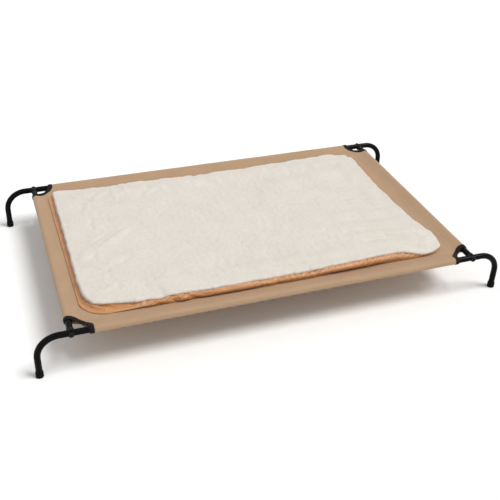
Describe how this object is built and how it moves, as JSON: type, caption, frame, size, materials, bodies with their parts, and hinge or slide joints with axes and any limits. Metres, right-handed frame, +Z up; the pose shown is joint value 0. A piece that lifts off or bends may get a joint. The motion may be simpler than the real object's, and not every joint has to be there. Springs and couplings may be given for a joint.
{
  "type": "raised dog cot",
  "caption": "Low raised pet cot: bent black steel tube frame on capped legs, tan canvas bed stretched by edge sleeves, corners bound in tape, loose fleece-topped pad on the bed.",
  "frame": {"origin": "on the floor, under the middle of the bed", "axes": "+X along the bed's length, +Y across it to the back, +Z up"},
  "size_m": [1.2502, 0.7288, 0.1358],
  "materials": {
    "powder_coat": "semi-gloss black powder coat",
    "foot_rubber": "matte moulded rubber",
    "saddle_nylon": "matte moulded nylon",
    "insert_brass": "turned",
    "bolt_black": "black oxide",
    "canvas": "coated plain weave",
    "binding_tape": "woven tape",
    "satin": "lustrous satin weave",
    "fibre_fill": "loose polyester fibre",
    "fleece": "deep pile fleece"
  },
  "bodies": {
    "cot": {"front_rail": "powder_coat", "back_rail": "powder_coat", "left_end_rail": "powder_coat", "right_end_rail": "powder_coat", "front_left_leg": "powder_coat", "front_right_leg": "powder_coat", "back_left_leg": "powder_coat", "back_right_leg": "powder_coat", "front_left_foot_cap": "foot_rubber", "front_right_foot_cap": "foot_rubber", "back_left_foot_cap": "foot_rubber", "back_right_foot_cap": "foot_rubber", "front_left_saddle_plug": "saddle_nylon", "front_right_saddle_plug": "saddle_nylon", "back_left_saddle_plug": "saddle_nylon", "back_right_saddle_plug": "saddle_nylon", "front_left_insert": "insert_brass", "front_right_insert": "insert_brass", "back_left_insert": "insert_brass", "back_right_insert": "insert_brass", "front_left_bolt": "bolt_black", "front_right_bolt": "bolt_black", "back_left_bolt": "bolt_black", "back_right_bolt": "bolt_black", "canvas_panel": "canvas", "left_sleeve": "canvas", "front_sleeve": "canvas", "right_sleeve": "canvas", "back_sleeve": "canvas", "front_left_binding": "binding_tape", "front_right_binding": "binding_tape", "back_left_binding": "binding_tape", "back_right_binding": "binding_tape"},
    "pad": {"pad_backing": "satin", "pad_fill": "fibre_fill", "pad_fleece": "fleece"}
  },
  "joints": [
    {"name": "pad_lift", "type": "slide", "parent": "cot", "child": "pad", "axis": [0, 0, 1], "range_m": [0, 0.2]}
  ]
}
